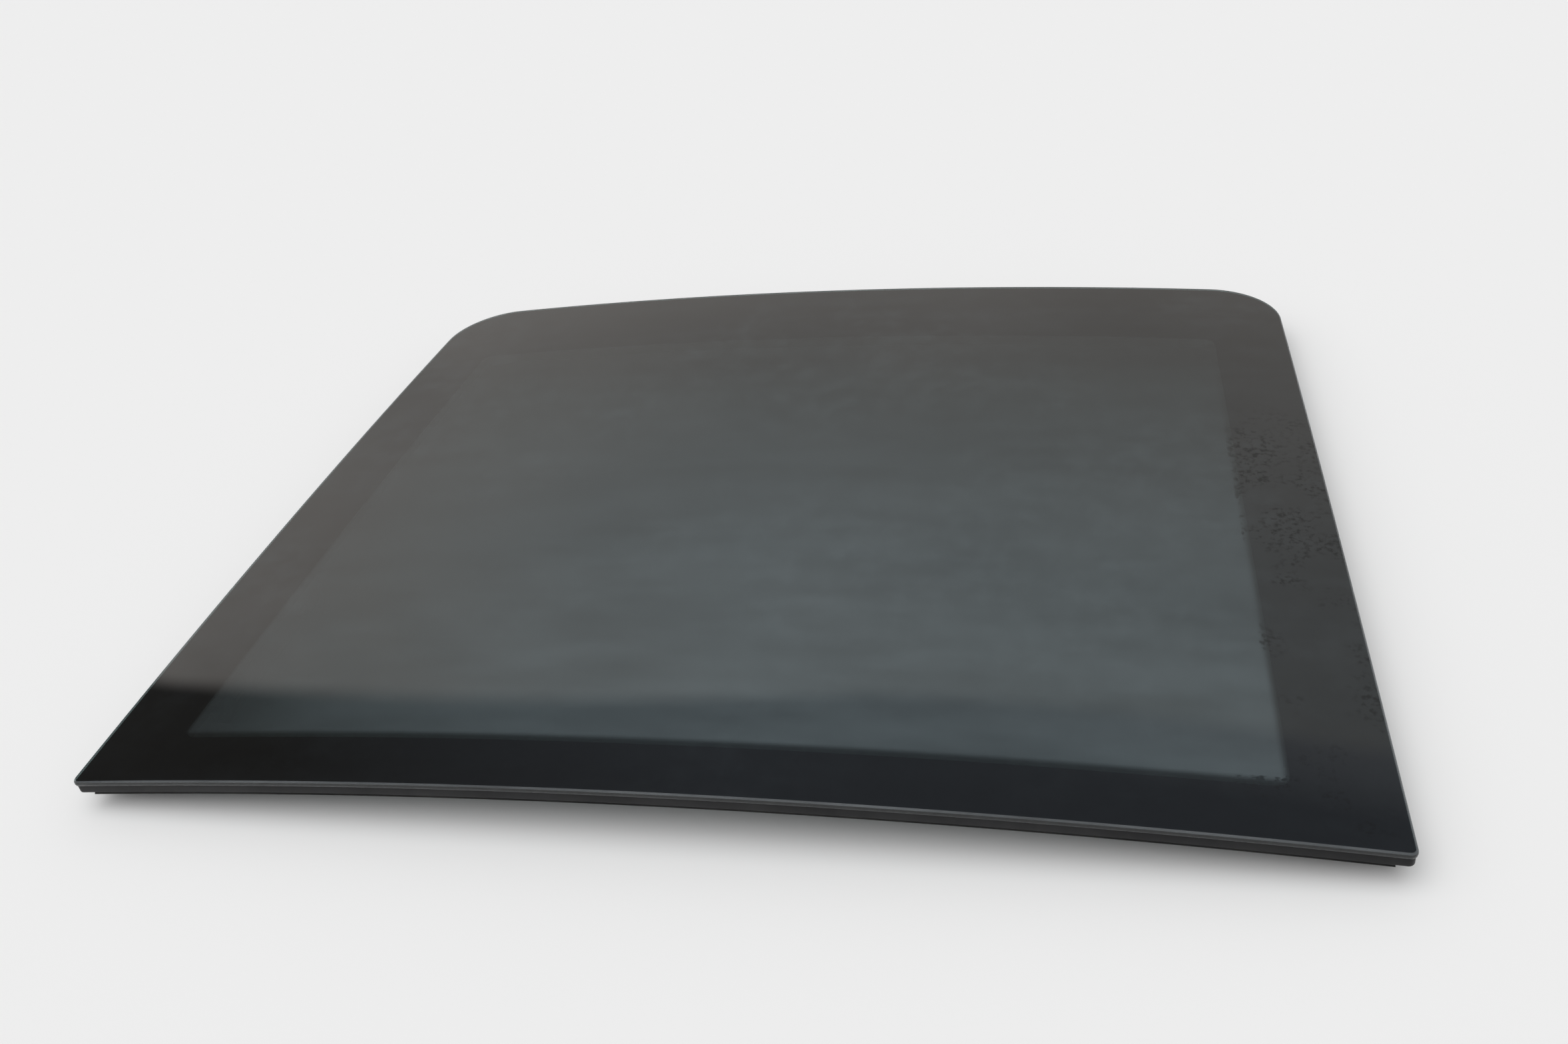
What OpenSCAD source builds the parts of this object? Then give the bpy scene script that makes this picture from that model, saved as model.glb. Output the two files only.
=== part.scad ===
// Tilt-and-slide glass roof vent cover: a crowned tinted pane on a pressed steel frame.
// The cover lies as it does on its own brackets. +Y is its front edge, +Z is the outside face,
// and the origin is the middle of the footprint. All sizes are millimetres.
//
// Two measures place nearly everything: u, how far a point lies in from the pane's edge,
// and w, how deep it lies below the pane's crowned outer face.

/* [Pane] */
// Width across the rear edge
rear_width = 1000; // [900:10:1100]
// How much narrower the front edge is than the rear edge
front_taper = 54; // [20:2:90]
// Length from the rear edge to the front edge
cover_length = 808; // [720:4:900]
// Radius of the two front corners
front_corner_radius = 70; // [70:2:100]
// Radius of the two rear corners
rear_corner_radius = 6; // [3:1:12]
// Thickness of the glass
glass_thickness = 5; // [4:0.5:6]

/* [Crown] */
// Rise of the middle above the side edges
cross_crown = 20.5; // [14:0.5:24]
// Rise of the middle above the front and rear edges
length_crown = 7; // [4:0.5:7.5]
// Height of the outer face at the rear corners, above the plane that the cover rests on
corner_height = 32; // [32:0.5:36]

/* [Edge moulding] */
// Setback of the moulding's outer wall from the glass edge
lip_setback = 1.2; // [0.5:0.1:2]
// Width of the moulding's hanging lip
lip_width = 7.5; // [6:0.5:8]
// Depth of the lip's lower edge below the outer face
lip_depth = 13.4; // [12:0.2:15]
// Full width of the moulding
moulding_width = 23; // [22:0.5:23.5]
// Thickness of the moulding behind the lip
moulding_thickness = 4.2; // [3.8:0.1:4.4]

/* [Seals] */
// Distance of the seal groove's centre from the glass edge
groove_inset = 14; // [13.5:0.25:14.5]
// Width of the seal groove
groove_width = 4; // [3:0.25:4.5]
// Depth of the seal groove
groove_depth = 2.4; // [2:0.1:2.8]
// Width of the hollow seal
bulb_width = 8.4; // [7:0.2:8.8]
// Height of the hollow seal
bulb_height = 8; // [6:0.5:9]
// Wall of the hollow seal
seal_wall = 1.3; // [1:0.1:1.6]

/* [Frame] */
// Sheet thickness of the pressed rails
rail_sheet = 1.4; // [1:0.1:1.8]
// Distance of the frame's outer edge from the glass edge
frame_inset = 25; // [24.5:0.25:27]
// Width of the flange that is glued to the glass
bond_flange = 17; // [15:0.5:17]
// Thickness of the glue under the glass
glue_thickness = 3.2; // [2.5:0.1:3.6]
// Width of the glue
glue_width = 12; // [8:0.5:13]
// Depth of the frame's lower face below the outer face
frame_depth = 20; // [19:0.25:20.5]
// Width of the channel in the side and front rails
channel_width = 26; // [24:1:26]
// Depth of the channel's free wall, measured down from the glass
free_wall_depth = 12; // [11:0.5:15]
// Width of the front stiffener
stiffener_width = 50; // [44:2:60]
// Half length of the straps that join the side rails to the front rail
splice_reach = 18; // [14:1:24]
// Reach of a rear corner plate from the corner of the frame, short enough for the printed border to hide
corner_plate_reach = 40; // [34:1:48]
// Lightening holes in the front stiffener
stiffener_holes = 7; // [5:1:9]
// Diameter of those holes
stiffener_hole = 24; // [16:1:26]

/* [Brackets] */
// Sheet thickness of the lift brackets
lift_sheet = 2.5; // [2:0.25:3]
// Length of a lift bracket
lift_length = 190; // [180:5:220]
// Distance of a lift bracket's middle from the rear edge
lift_from_rear = 190; // [180:5:230]
// Distance between the two slots of a lift bracket
slot_spacing = 120; // [110:5:130]
// Width of a slot
slot_width = 6.6; // [6.4:0.2:8.6]
// Length of a slot from end to end
slot_length = 14; // [12:1:18]
// Height of the slots above the rest plane
slot_height = 8; // [7:0.25:9]
// Sheet thickness of the front brackets
shoe_bracket_sheet = 3; // [2.5:0.25:3.5]
// Length of a front bracket
shoe_bracket_length = 66; // [60:2:80]
// Distance of the swivel pin from the front edge
pin_from_front = 112; // [105:1:140]

/* [Guide shoes] */
// Diameter of the swivel pin
pin_diameter = 6; // [5:0.5:7]
// Height of the swivel pin above the rest plane
pin_height = 8.5; // [8:0.25:9]
// Gap between the pin and the shoe's bore, on the radius
running_clearance = 0.06; // [0.03:0.01:0.1]
// Length of a guide shoe
shoe_length = 48; // [40:1:52]
// Height of a guide shoe
shoe_height = 12; // [11:0.5:12.5]
// Width of a guide shoe
shoe_width = 11; // [9:0.5:12]

/* [Fasteners] */
// Distance of the outer screws from a bracket's ends
screw_margin = 13; // [11:0.5:16]
// Thread diameter of the bracket screws
screw_diameter = 6; // [5:0.5:6]
// Screw head diameter
screw_head = 10.5; // [9:0.5:12]
// Screw head height
head_height = 3.4; // [3:0.2:4]
// Width across the flats of the weld nuts
nut_flats = 10; // [9:0.5:11]
// Height of the weld nuts
nut_height = 4.6; // [4:0.2:5]
// Washer thickness
washer_thickness = 1.2; // [0.8:0.1:1.6]
// Diameter of a rubber stop
stop_diameter = 13; // [10:0.5:14]
// Height of a rubber stop under the rail
stop_height = 6; // [4:0.5:7]

/* [Hidden] */

LEFT = -1;
RIGHT = 1;
half_length = cover_length / 2;
edge_lean = atan(front_taper / 2 / cover_length);
cross_radius = (pow(rear_width / 2, 2) + pow(cross_crown, 2)) / (2 * cross_crown);
length_radius = (pow(half_length, 2) + pow(length_crown, 2)) / (2 * length_crown);
contact_gap = 0.1;   // between bonded or stacked faces that are faceted differently
fit_gap = 0.05;      // between a fastener and the hole that it fills
joint_gap = 0.5;     // between two rails or seals that meet end to end
plate_gap = 5;       // least gap between a corner plate and the bracket in front of it
cut_over = 1;        // how far a cutter runs past what it cuts
sharp_bend = 0.6;    // radius left at a corner once an inset has used up its own radius
curve_steps = 96;    // facets in a full turn of a hole or a pin

// Stations along each stretch of the outline.
rear_steps = 20;
side_steps = 12;
front_steps = 18;
front_corner_steps = 12;
rear_corner_steps = 3;
crown_strips = 24;   // strips across the pane that follow the length crown
layer_margin = 30;   // how far a crowned layer runs past the pane's sides

// Depths of the layers under the glass, from the outer face down.
under_glass = glass_thickness + contact_gap;
moulding_back = under_glass + moulding_thickness;
glue_bottom = under_glass + glue_thickness;
flange_top = glue_bottom + contact_gap;
flange_bottom = flange_top + rail_sheet;
floor_top = frame_depth - rail_sheet;
plate_top = frame_depth + contact_gap;

// Insets of the frame's walls.
web_inset = frame_inset + bond_flange - rail_sheet;
channel_end = web_inset + channel_width;
channel_middle = web_inset + channel_width / 2;

// ---- The crowned face ----

// Distance of the outer face's parallel, w deep, from the axis that its cross crown turns about.
function crown_reach(y, w) =
    cross_radius - length_radius + sqrt(pow(length_radius - w, 2) - y * y);
function fall(x, y, w) = sqrt(pow(crown_reach(y, w), 2) - x * x) - cross_radius;
apex_height = corner_height - fall(rear_width / 2, half_length, 0);
function crown_z(x, y, w) = apex_height + fall(x, y, w);
function on_face(p, w) = [p[0], p[1], crown_z(p[0], p[1], w)];

// Moves its children onto the outer face at x, y, with -Z pointing straight into the pane.
module at_face(x, y) {
    translate([x, y, crown_z(x, y, 0)])
        rotate([0, asin(x / crown_reach(y, 0)), 0])
            rotate([-asin(y / length_radius), 0, 0])
                children();
}

// The solid layer between two depths, wider and longer than the pane.
module crown_layer(top, bottom) {
    spread = asin((rear_width / 2 + layer_margin) / cross_radius);
    ends = half_length + cut_over;
    stations = [for (i = [0 : crown_strips]) ends * (2 * i / crown_strips - 1)];
    translate([0, 0, apex_height - cross_radius])
        rotate([-90, 0, 0])
            rotate([0, 0, -90 - spread])
                rotate_extrude(angle = 2 * spread, $fn = 256)
                    polygon(concat([for (y = stations) [crown_reach(y, top), y]],
                                   [for (y = reversed(stations)) [crown_reach(y, bottom), y]]));
}

// Cuts the plan outline given as its child out of the layer between two depths.
module crown_cut(top, bottom) {
    intersection() {
        crown_layer(top, bottom);
        translate([0, 0, -corner_height])
            linear_extrude(2 * corner_height + apex_height)
                children();
    }
}

// ---- The outline at any inset ----

function side_x(y, u) =
    rear_width / 2 - (y + half_length) * tan(edge_lean) - u / cos(edge_lean);
function between(a, b, steps) = [for (i = [1 : steps - 1]) a + (b - a) * i / steps];
function mirrored(points) = [for (i = [len(points) - 1 : -1 : 0]) [-points[i][0], points[i][1]]];
function reversed(list) = [for (i = [len(list) - 1 : -1 : 0]) list[i]];

// Points round one right-hand corner, from one edge's normal to the next.
function corner(u, radius, front, steps) =
    let (r = max(radius - u, sharp_bend),
         y = front ? half_length - u - r : -half_length + u + r,
         x = side_x(y, u + r),
         from = front ? edge_lean : -90,
         to = front ? 90 : edge_lean)
    [for (i = [0 : steps]) let (a = from + (to - from) * i / steps) [x + r * cos(a), y + r * sin(a)]];
function rear_corner(u) = corner(u, rear_corner_radius, false, rear_corner_steps);
function front_corner(u) = corner(u, front_corner_radius, true, front_corner_steps);

// The right side from the rear corner to the front corner, and the whole outline.
function right_side(u, steps) =
    let (rear = rear_corner(u), front = front_corner(u))
    concat(rear, between(rear[rear_corner_steps], front[0], steps), front);
function outline(u, rear_count = 1, side_count = 1, front_count = 1) =
    let (right = right_side(u, side_count), left = mirrored(right), last = len(right) - 1)
    concat(right, between(right[last], left[0], front_count),
           left, between(left[last], right[0], rear_count));

// ---- Sweeps along the crowned face ----

// Sides of a sweep: `stations` loops of `count` points each, joined one to the next.
function loop_sides(count, stations, closed, start = 0, inward = false) =
    [for (i = [0 : stations - (closed ? 1 : 2)], j = [0 : count - 1])
        let (a = start + i * count + j, b = start + i * count + (j + 1) % count,
             c = start + ((i + 1) % stations) * count + (j + 1) % count,
             d = start + ((i + 1) % stations) * count + j)
        each (inward ? [[a, b, c], [a, c, d]] : [[a, c, b], [a, d, c]])];

// Places section point p at station i, with `at` giving the plan position of inset u there.
function swept_point(at, i, p) = on_face(at(i, p[0]), p[1]);

// A closed section carried round a closed outline.
module swept_ring(section, rings) {
    count = len(section);
    stations = len(rings[0]);
    points = [for (i = [0 : stations - 1], j = [0 : count - 1]) on_face(rings[j][i], section[j][1])];
    polyhedron(points, loop_sides(count, stations, true), convexity = 8);
}

// A bent strip with faces a and b, carried past every station and closed at both ends.
module swept_strip(a, b, stations, at) {
    loop = concat(a, reversed(b));
    count = len(loop);
    last = (stations - 1) * count;
    points = [for (i = [0 : stations - 1], p = loop) swept_point(at, i, p)];
    caps = [for (j = [0 : len(a) - 2]) let (k = count - 1 - j)
        each [[j, k - 1, k], [j, j + 1, k - 1],
              [last + j, last + k, last + k - 1], [last + j, last + k - 1, last + j + 1]]];
    polyhedron(points, concat(loop_sides(count, stations, false), caps), convexity = 8);
}

// A hollow section with as many points outside as inside, open at both ends.
module swept_tube(outer, inner, stations, at) {
    count = len(outer);
    start = stations * count;
    last = (stations - 1) * count;
    points = concat([for (i = [0 : stations - 1], p = outer) swept_point(at, i, p)],
                    [for (i = [0 : stations - 1], p = inner) swept_point(at, i, p)]);
    caps = [for (j = [0 : count - 1]) let (k = (j + 1) % count)
        each [[j, start + k, start + j], [j, k, start + k],
              [last + j, start + last + j, start + last + k], [last + j, start + last + k, last + k]]];
    polyhedron(points, concat(loop_sides(count, stations, false),
                              loop_sides(count, stations, false, start, true), caps), convexity = 8);
}

// ---- Pane, moulding, glue and seals ----

module glass_pane() {
    color([0.10, 0.12, 0.12])
        crown_cut(0, glass_thickness)
            polygon(outline(0));
}

groove_outer = groove_inset - groove_width / 2;
groove_inner = groove_inset + groove_width / 2;
lip_end = lip_setback + lip_width;
lip_round = 1.4;
moulding_section = [
    [lip_setback, under_glass],
    [lip_setback, lip_depth - lip_round],
    [lip_setback + lip_round, lip_depth],
    [lip_end - lip_round, lip_depth],
    [lip_end, lip_depth - lip_round],
    [lip_end, moulding_back],
    [groove_outer, moulding_back],
    [groove_outer, moulding_back - groove_depth],
    [groove_inner, moulding_back - groove_depth],
    [groove_inner, moulding_back],
    [moulding_width - lip_round, moulding_back],
    [moulding_width, moulding_back - lip_round],
    [moulding_width, under_glass]];

module edge_moulding() {
    color([0.09, 0.09, 0.10])
        swept_ring(moulding_section,
                   [for (p = moulding_section) outline(p[0], rear_steps, side_steps, front_steps)]);
}

module adhesive_bead() {
    middle = frame_inset + bond_flange / 2;
    shoulder = 1;
    section = [[middle - glue_width / 2 + shoulder, under_glass],
               [middle - glue_width / 2, glue_bottom],
               [middle + glue_width / 2, glue_bottom],
               [middle + glue_width / 2 - shoulder, under_glass]];
    color([0.05, 0.05, 0.05])
        swept_ring(section, [for (p = section) outline(p[0], rear_steps, side_steps, front_steps)]);
}

// The hollow seal's outside, foot first, and the hollow that follows it point for point.
seal_top = moulding_back + contact_gap;
seal_left = groove_inset - bulb_width / 2;
seal_right = groove_inset + bulb_width / 2;
foot_top = moulding_back - groove_depth + contact_gap;
foot_half = groove_width / 2 - contact_gap;
seal_bottom = seal_top + bulb_height;
seal_outside = [
    [groove_inset - foot_half, foot_top],
    [groove_inset - foot_half, seal_top],
    [seal_left + seal_wall, seal_top],
    [seal_left, seal_top + bulb_height * 0.3],
    [seal_left + bulb_width * 0.06, seal_top + bulb_height * 0.72],
    [seal_left + bulb_width * 0.28, seal_bottom],
    [seal_right - bulb_width * 0.28, seal_bottom],
    [seal_right - bulb_width * 0.06, seal_top + bulb_height * 0.72],
    [seal_right, seal_top + bulb_height * 0.3],
    [seal_right - seal_wall, seal_top],
    [groove_inset + foot_half, seal_top],
    [groove_inset + foot_half, foot_top]];
hollow_left = seal_left + seal_wall;
hollow_right = seal_right - seal_wall;
hollow_top = seal_top + seal_wall;
hollow_bottom = seal_bottom - seal_wall;
seal_inside = [
    [groove_inset - 0.5, hollow_top],
    [groove_inset - 1.2, hollow_top],
    [hollow_left + seal_wall, hollow_top],
    [hollow_left, seal_top + bulb_height * 0.36],
    [hollow_left + 0.3, seal_top + bulb_height * 0.64],
    [hollow_left + seal_wall, hollow_bottom],
    [hollow_right - seal_wall, hollow_bottom],
    [hollow_right - 0.3, seal_top + bulb_height * 0.64],
    [hollow_right, seal_top + bulb_height * 0.36],
    [hollow_right - seal_wall, hollow_top],
    [groove_inset + 1.2, hollow_top],
    [groove_inset + 0.5, hollow_top]];

// Stations of the seal: up the right side, across the front and down the left side.
seal_start = -half_length + seal_right + joint_gap;
function seal_path(u) =
    let (right = right_side(u, side_steps), left = mirrored(right), last = len(right) - 1,
         run = [for (i = [rear_corner_steps + 1 : last]) right[i]])
    concat([[side_x(seal_start, u), seal_start]], run,
           between(right[last], left[0], front_steps),
           mirrored(run), [[-side_x(seal_start, u), seal_start]]);
module perimeter_seal() {
    outside = [for (p = seal_outside) seal_path(p[0])];
    inside = [for (p = seal_inside) seal_path(p[0])];
    insets = concat([for (p = seal_outside) p[0]], [for (p = seal_inside) p[0]]);
    paths = concat(outside, inside);
    at = function (i, u) paths[search(u, insets)[0]][i];
    color([0.06, 0.06, 0.06])
        swept_tube(seal_outside, seal_inside, len(outside[0]), at);
}

// The rear seal is a foot with one drooping lip that meets the panel behind the cover.
lip_seal_setback = 4;
lip_seal_droop = 7.5;
lip_seal_wall = 1.8;
module rear_lip_seal() {
    reach = side_x(-half_length + groove_inset, groove_outer + joint_gap);
    front_face = [[groove_inset + foot_half, foot_top],
                  [groove_inset + foot_half, seal_top],
                  [seal_right, seal_top],
                  [seal_right, seal_top + lip_seal_wall],
                  [groove_inset, seal_top + lip_seal_wall + 1.5],
                  [lip_seal_setback + lip_seal_wall, seal_top + lip_seal_droop]];
    rear_face = [[groove_inset - foot_half, foot_top],
                 [groove_inset - foot_half, seal_top],
                 [groove_inset - foot_half - 0.6, seal_top],
                 [groove_inset - foot_half - 1.2, seal_top + 0.2],
                 [lip_end + 1, lip_depth - lip_round],
                 [lip_seal_setback, seal_top + lip_seal_droop]];
    at = function (i, u) [reach * (2 * i / rear_steps - 1), -half_length + u];
    color([0.06, 0.06, 0.06])
        swept_strip(rear_face, front_face, rear_steps + 1, at);
}

// ---- Frame ----

bend = 1.2;   // set of a pressed corner, as a short flat
// Faces of the rail section: glued flange, web, channel floor and free wall.
function channel_upper() = [
    [frame_inset, flange_top],
    [web_inset + rail_sheet - bend, flange_top],
    [web_inset + rail_sheet, flange_top + bend],
    [web_inset + rail_sheet, floor_top - bend],
    [web_inset + rail_sheet + bend, floor_top],
    [channel_end - rail_sheet - bend, floor_top],
    [channel_end - rail_sheet, floor_top - bend],
    [channel_end - rail_sheet, free_wall_depth]];
function channel_lower() = [
    [frame_inset, flange_bottom],
    [web_inset - bend, flange_bottom],
    [web_inset, flange_bottom + bend],
    [web_inset, frame_depth - bend],
    [web_inset + bend, frame_depth],
    [channel_end - bend, frame_depth],
    [channel_end, frame_depth - bend],
    [channel_end, free_wall_depth]];

rear_rail_width = 20;
side_rail_start = -half_length + frame_inset + rear_rail_width + joint_gap;
front_rail_start = half_length - front_corner_radius - joint_gap;

module side_rail(side) {
    from = side_rail_start;
    to = front_rail_start - joint_gap;
    at = function (i, u) let (y = from + (to - from) * i / side_steps) [side * side_x(y, u), y];
    color([0.13, 0.13, 0.14])
        difference() {
            // The strip's two faces trade places on the left, so that the solid stays right side out.
            if (side == RIGHT)
                swept_strip(channel_lower(), channel_upper(), side_steps + 1, at);
            else
                swept_strip(channel_upper(), channel_lower(), side_steps + 1, at);
            for (flange = [lift_flange, shoe_flange])
                at_floor_screws(side, flange)
                    translate([0, 0, -rail_sheet - cut_over])
                        cylinder(h = rail_sheet + 2 * cut_over, r = clear_hole, $fn = curve_steps);
            for (y = rail_slot_stations())
                at_face(side * side_x(y, channel_middle), y)
                    translate([0, 0, -frame_depth - cut_over])
                        linear_extrude(rail_sheet + 2 * cut_over)
                            polygon(slot_outline(rail_slot_length, rail_slot_width));
        }
}

// The front rail turns both corners, so it reaches from one side rail to the other.
module front_rail() {
    function path(u) =
        let (right = front_corner(u), left = mirrored(right))
        concat([[side_x(front_rail_start, u), front_rail_start]], right,
               between(right[front_corner_steps], left[0], front_steps), left,
               [[-side_x(front_rail_start, u), front_rail_start]]);
    lower = channel_lower();
    upper = channel_upper();
    insets = concat([for (p = lower) p[0]], [for (p = upper) p[0]]);
    paths = [for (u = insets) path(u)];
    at = function (i, u) paths[search(u, insets)[0]][i];
    color([0.13, 0.13, 0.14])
        difference() {
            swept_strip(lower, upper, len(paths[0]), at);
            for (x = [-front_stop_x, front_stop_x])
                at_face(x, front_stop_y)
                    stop_hole();
        }
}

// The rear rail is a shallow C that opens towards the middle of the cover.
module rear_rail() {
    end = frame_inset + rear_rail_width;
    outer = [[end, flange_top],
             [frame_inset + bend, flange_top],
             [frame_inset, flange_top + bend],
             [frame_inset, frame_depth - bend],
             [frame_inset + bend, frame_depth],
             [end - 2 * bend, frame_depth]];
    inner = [[end, flange_bottom],
             [frame_inset + rail_sheet + bend, flange_bottom],
             [frame_inset + rail_sheet, flange_bottom + bend],
             [frame_inset + rail_sheet, floor_top - bend],
             [frame_inset + rail_sheet + bend, floor_top],
             [end - 2 * bend, floor_top]];
    reach = side_x(-half_length + frame_inset, frame_inset);
    at = function (i, u) [reach * (2 * i / rear_steps - 1), -half_length + u];
    color([0.13, 0.13, 0.14])
        difference() {
            swept_strip(outer, inner, rear_steps + 1, at);
            for (x = [-rear_stop_x, rear_stop_x])
                at_face(x, rear_stop_y)
                    stop_hole();
        }
}

// A pressed plate behind the front rail, hidden by the wide printed band at the front.
module front_stiffener() {
    lap = 7;
    front = half_length - channel_end + lap;
    rear = front - stiffener_width;
    half_span = side_x(rear, channel_end) - 2 * joint_gap;
    pitch = 2 * half_span / (stiffener_holes + 1);
    up_turn = 8;
    color([0.13, 0.13, 0.14])
        difference() {
            union() {
                crown_cut(plate_top, plate_top + rail_sheet)
                    translate([-half_span, rear])
                        square([2 * half_span, front - rear]);
                crown_cut(plate_top - up_turn, plate_top + rail_sheet)
                    translate([-half_span, rear])
                        square([2 * half_span, rail_sheet]);
            }
            for (i = [1 : stiffener_holes])
                at_face(-half_span + pitch * i, rear + (front - rear - lap) / 2)
                    translate([0, 0, -plate_top - rail_sheet - cut_over])
                        cylinder(h = rail_sheet + 2 * cut_over, d = stiffener_hole, $fn = curve_steps);
        }
}

// Gussets welded under the joints between the rear rail and the side rails.
module rear_corner_plates() {
    near = -half_length + frame_inset + 2 * bend;
    reach = min(corner_plate_reach, lift_y - lift_length / 2 - plate_gap - near);
    color([0.15, 0.15, 0.16])
        for (side = [LEFT, RIGHT])
            crown_cut(plate_top, plate_top + rail_sheet)
                polygon([[side * side_x(near, web_inset + reach), near],
                         [side * side_x(near, web_inset + 2 * bend), near],
                         [side * side_x(near + reach, web_inset + 2 * bend), near + reach],
                         [side * side_x(near + reach, channel_end - 2 * bend), near + reach],
                         [side * side_x(near + 2 * rear_rail_width, web_inset + reach),
                          near + 2 * rear_rail_width - channel_width / 2]]);
}

// Straps welded under the joints between the side rails and the front rail.
module splice_plates() {
    outer = web_inset + 2 * bend;
    inner = channel_end - 2 * bend;
    color([0.15, 0.15, 0.16])
        for (side = [LEFT, RIGHT])
            crown_cut(plate_top, plate_top + rail_sheet)
                polygon([for (end = [[-splice_reach, outer], [splice_reach, outer],
                                     [splice_reach, inner], [-splice_reach, inner]])
                            let (y = front_rail_start + end[0]) [side * side_x(y, end[1]), y]]);
}

// ---- Brackets ----

clear_hole = screw_diameter / 2 + 0.3;
bracket_plate = channel_width - 4;
lift_y = -half_length + lift_from_rear;
pin_y = half_length - pin_from_front;
lift_x = side_x(lift_y, channel_middle);
shoe_bracket_y = pin_y - shoe_bracket_length / 4;
shoe_bracket_x = side_x(shoe_bracket_y, channel_middle);
lift_screw_reach = lift_length / 2 - screw_margin;
shoe_screw_reach = shoe_bracket_length / 2 - screw_margin;
lift_reaches = [-lift_screw_reach, 0, lift_screw_reach];
shoe_reaches = [-shoe_screw_reach, shoe_screw_reach];
screw_shift = 2;     // of the screws from the flange's middle, away from the leg or the ear
rail_slot_length = 54;
rail_slot_width = 11;

// How far the crown falls away over a distance along Y from where a flat plate touches it.
function crown_drop(distance) = pow(distance, 2) / 2 / length_radius;
// Depth at which a flat flange of this length clears the rail's crowned floor.
function flange_depth(length) = plate_top + crown_drop(length / 2);
// How far in towards the middle a point at this depth lies, under x, y on the outer face.
function lean_in(x, y, depth) = depth * x / crown_reach(y, 0);
// Height of a tilted flange's plane, dy along it from x, y.
function flange_z(x, y, dy, depth) = crown_z(x, y, depth) - dy * y / length_radius;

// Each bracket's flange: the x and y that it hangs from, its length, its sheet and its screws' places
// along it and outwards across it.
lift_flange = [lift_x, lift_y, lift_length, lift_sheet, lift_reaches, screw_shift];
shoe_flange = [shoe_bracket_x, shoe_bracket_y, shoe_bracket_length, shoe_bracket_sheet, shoe_reaches,
               -screw_shift];
function rail_slot_stations() =
    let (from = lift_y + lift_length / 2, to = shoe_bracket_y - shoe_bracket_length / 2, count = 3)
    [for (i = [1 : count]) from + (to - from) * i / (count + 1)];

// Puts its children at a bracket's screws, on the lower face of its flange.
module at_flange_screws(side, flange) {
    for (dy = flange[4])
        at_face(side * flange[0], flange[1])
            translate([side * flange[5], dy, -flange_depth(flange[2]) - flange[3]])
                children();
}

// Puts its children at a bracket's screws, on the floor inside the rail's channel.
module at_floor_screws(side, flange) {
    for (dy = flange[4])
        at_face(side * flange[0], flange[1])
            translate([side * flange[5], dy, -floor_top - crown_drop(dy)])
                children();
}

// Outline of a round-ended slot lying along Y.
function slot_outline(length, width, steps = 8) =
    [for (end = [1, -1], i = [0 : steps])
        let (a = 180 * i / steps + (end > 0 ? 0 : 180))
        [width / 2 * cos(a), end * (length - width) / 2 + width / 2 * sin(a)]];

// A bored slot lying along Y, standing on the XY plane.
module slot(length, width, height) {
    union() {
        for (end = [-1, 1])
            translate([0, end * (length - width) / 2, 0])
                cylinder(h = height, d = width, $fn = curve_steps);
        translate([-width / 2, -(length - width) / 2, 0])
            cube([width, length - width, height]);
    }
}

// The screwed plate of a bracket, tilted to lie flat against the rail's floor.
module bracket_flange(side, flange) {
    sheet = flange[3];
    difference() {
        at_face(side * flange[0], flange[1])
            translate([-bracket_plate / 2, -flange[2] / 2, -flange_depth(flange[2]) - sheet])
                cube([bracket_plate, flange[2], sheet]);
        at_flange_screws(side, flange)
            translate([0, 0, -cut_over])
                cylinder(h = sheet + 2 * cut_over, r = clear_hole, $fn = curve_steps);
    }
}

// Stands a plate of the given sheet on edge across X, with its outline's first axis along Y.
module upright(side, x, y, sheet) {
    translate([side > 0 ? x : -x - sheet, y, 0])
        rotate([90, 0, 90])
            linear_extrude(sheet)
                children();
}

// A lift bracket: the flange above, and a leg with two slots that rests on the ground.
module lift_bracket(side) {
    corner_cut = 10;
    ends = lift_length / 2;
    middle_depth = flange_depth(lift_length) + lift_sheet / 2;
    inner = lift_x - lean_in(lift_x, lift_y, middle_depth) - bracket_plate / 2;
    rear_top = flange_z(inner, lift_y, -ends, middle_depth);
    front_top = flange_z(inner, lift_y, ends, middle_depth);
    color([0.55, 0.56, 0.58])
        union() {
            bracket_flange(side, lift_flange);
            difference() {
                upright(side, inner, lift_y, lift_sheet)
                    polygon([[-ends + corner_cut, 0], [ends - corner_cut, 0], [ends, corner_cut],
                             [ends, front_top], [-ends, rear_top], [-ends, corner_cut]]);
                for (dy = [-slot_spacing / 2, slot_spacing / 2])
                    translate([side * (inner - cut_over), lift_y + dy, slot_height])
                        rotate([0, side * 90, 0])
                            slot(slot_length, slot_width, lift_sheet + 2 * cut_over);
            }
        }
}

shoe_flange_depth = flange_depth(shoe_bracket_length) + shoe_bracket_sheet / 2;
ear_outer = shoe_bracket_x - lean_in(shoe_bracket_x, shoe_bracket_y, shoe_flange_depth) + bracket_plate / 2;

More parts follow.
